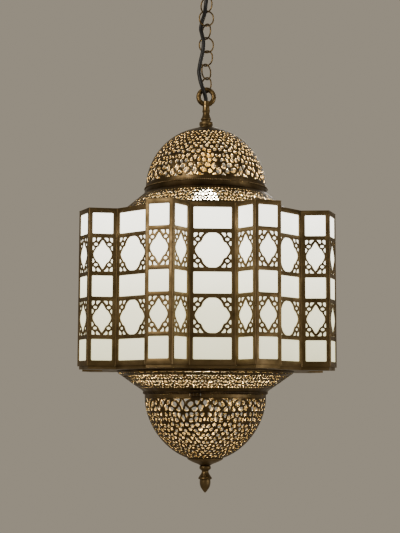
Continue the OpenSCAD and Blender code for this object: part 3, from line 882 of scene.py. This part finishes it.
def make_stem():
    bore, tube = 3.6, 5.05
    outer = [(5.85, 300), (6.2, 299.4), (6.35, 298.6), (6.3, 297.4), (5.7, 296.2), (5.45, 295),
             (5.6, 293.2), (6.1, 290.8), (6.9, 288.4), (7.9, 286.4), (8.7, 285.3), (8.85, 284.6),
             (8.6, 283.8), (7.8, 282.7), (7.2, 281.6), (7.0, 280)]
    lathe("stem_turning", [(bore, 300)] + outer + [(tube, 280), (tube, 296), (bore, 296)], "lantern",
          "antique_brass", ["stem"])
    collar = [(tube, 280), (10, 280), (10.7, 279.7), (11, 279), (11.15, 277), (11, 275), (10.6, 274.3),
              (10.05, 273.8), (10.1, 273.1), (10.5, 272.3), (11.5, 271.5), (13, 270.9),
              (13, 270.4), (tube, 270.4)]
    lathe("collar_turning", collar, "lantern", "antique_brass", ["stem_collar"])


def make_finial():
    cap_in = 1.2
    cap = [(28.4, -262), (28.2, -263.2), (26.5, -264.6), (22, -267), (16.5, -269.3),
           (11.5, -271.2), (9, -272.8), (0, -272.8), (0, -271.2), (11, -271.2 + cap_in),
           (22, -267 + cap_in + 1), (27.2, -262)]
    lathe("cap_turning", cap, "bowl", "antique_brass", ["bowl_cap"])
    turned = [(0, -272.8), (7, -272.8), (8.2, -273.6), (8.9, -275), (9.15, -276.6), (8.9, -278.2),
              (8.1, -279.4), (6.6, -280.4), (5.6, -281.4), (5.25, -282.6), (5.5, -284), (6.6, -286.4),
              (8.2, -288.8), (9.7, -291), (10.7, -292.4), (10.95, -293.3), (10.6, -294.2),
              (9.4, -294.8), (8.5, -295.2)]
    turned += [(8.4, -296.6), (8.6, -298), (8.6, -299.5), (8.5, -301.2), (8.3, -302.9), (7.7, -305.4),
               (7.1, -306.9), (6.4, -308.2), (5, -310.4), (3.3, -312.7), (1.6, -314.8), (0, -316)]
    lathe("finial_turning", turned, "bowl", "antique_brass", ["finial"])


# ---------------------------------------------------------------- Chain and cord

# Route of the cord, from the terminal block down to the lampholder: x, y and height from the body's
# mid height, in metres.
CORD_ROUTE = [
    (-0.020, 0.0, 0.5635), (-0.020, 0.0, 0.546), (-0.020, 0.0, 0.534), (-0.017, 0.0005, 0.522),
    (-0.0105, -0.0005, 0.510), (-0.0035, -0.0055, 0.498), (-0.001, -0.010, 0.486), (-0.002, -0.0095, 0.473),
    (-0.0035, -0.002, 0.461), (-0.007, 0.004, 0.450), (-0.009, 0.0035, 0.438), (-0.0075, -0.0025, 0.427),
    (-0.0055, -0.008, 0.415), (-0.0055, -0.009, 0.404), (-0.007, -0.008, 0.393), (-0.0095, -0.007, 0.382),
    (-0.0115, -0.0065, 0.371), (-0.0125, -0.0075, 0.362), (-0.0115, -0.0085, 0.354),
    (-0.010, -0.0095, 0.346), (-0.0075, -0.0092, 0.338), (-0.0044, -0.0068, 0.330),
    (-0.0014, -0.0023, 0.322), (0.0, 0.0, 0.314), (0.0, 0.0, 0.306), (0.0, 0.0, 0.290),
    (0.0, 0.0, 0.260), (0.0, 0.0, 0.222),
]
CORD_R = 0.0032


def tube(name, path, radius, ends):
    """A round tube along points in the frame. ends says whether its first and last ends are closed."""
    sides = 16
    verts, faces = [], []
    for i, p in enumerate(path):
        a, b = path[max(i - 1, 0)], path[min(i + 1, len(path) - 1)]
        run = (b - a).normalized()
        u = Vector((0, 1, 0)).cross(run).normalized()
        v = run.cross(u)
        for k in range(sides):
            t = 2 * math.pi * k / sides
            verts.append(p + radius * (math.cos(t) * u + math.sin(t) * v))
    for i in range(len(path) - 1):
        for k in range(sides):
            m = (k + 1) % sides
            faces.append([i * sides + k, i * sides + m, (i + 1) * sides + m, (i + 1) * sides + k])
    if ends[0]:
        faces.append(list(range(sides))[::-1])
    if ends[1]:
        faces.append([(len(path) - 1) * sides + k for k in range(sides)])
    return add_piece(name, verts, faces, None, "black_flex", ["power_cord"], 50)


def make_cord():
    """The cord in pieces, cut at the heights of the chain links. The end ones ride on the ceiling and the
    lantern, and the others ride on no body."""
    base = Vector((0, 0, BODY_Z))
    path = [p + base for p in spline(CORD_ROUTE, 8)]
    bodies = ["ceiling"] + LINKS + ["lantern"]
    heights = []
    for body in LINKS:
        lo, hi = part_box("chain_" + body)
        heights.append((lo.z + hi.z) / 2)
    pitch = heights[0] - heights[1]
    cuts = [heights[0] + pitch] + heights + [heights[-1] - pitch]
    pieces = []
    edges = [1e9] + cuts + [-1e9]
    for upper, lower in zip(edges, edges[1:]):
        inside = [i for i, p in enumerate(path) if lower <= p.z <= upper]
        stretch = [path[i] for i in inside]
        if inside[0] > 0:
            stretch.insert(0, at_height(path, upper))
        if inside[-1] < len(path) - 1:
            stretch.append(at_height(path, lower))
        pieces.append(stretch)
    last = len(pieces) - 1
    for n, stretch in enumerate(pieces):
        part = tube("cord_%d" % (n + 1), stretch, CORD_R, (n == 0, n == last))
        if n == 0 or n == last:
            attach(part, bodies[0] if n == 0 else bodies[-1])
        else:
            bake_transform(part)


def at_height(path, z):
    """Where the path passes a height."""
    for a, b in zip(path, path[1:]):
        if b.z <= z <= a.z:
            return a.lerp(b, (a.z - z) / (a.z - b.z))
    raise ValueError("the cord does not pass that height")


# ---------------------------------------------------------------- Carried-over CAD nodes

def finish_cad_nodes():
    """Gives each CAD node the material of its slot in the record, and smooth curves."""
    slots = {part["node"]: part["material_slot"] for part in frame["record"]["subparts"]}
    for name, node in frame["nodes"].items():
        node.data.materials.clear()
        node.data.materials.append(MATERIALS[slots[name]])
        node.data.set_sharp_from_angle(angle=math.radians(30))


make_camera()
make_light()
make_floor()
MATERIALS = make_materials()
finish_cad_nodes()
make_cord()
make_stem()
make_dome()
make_beading()
make_cones()
make_panels()
make_rope_ring()
make_bowl()
make_finial()
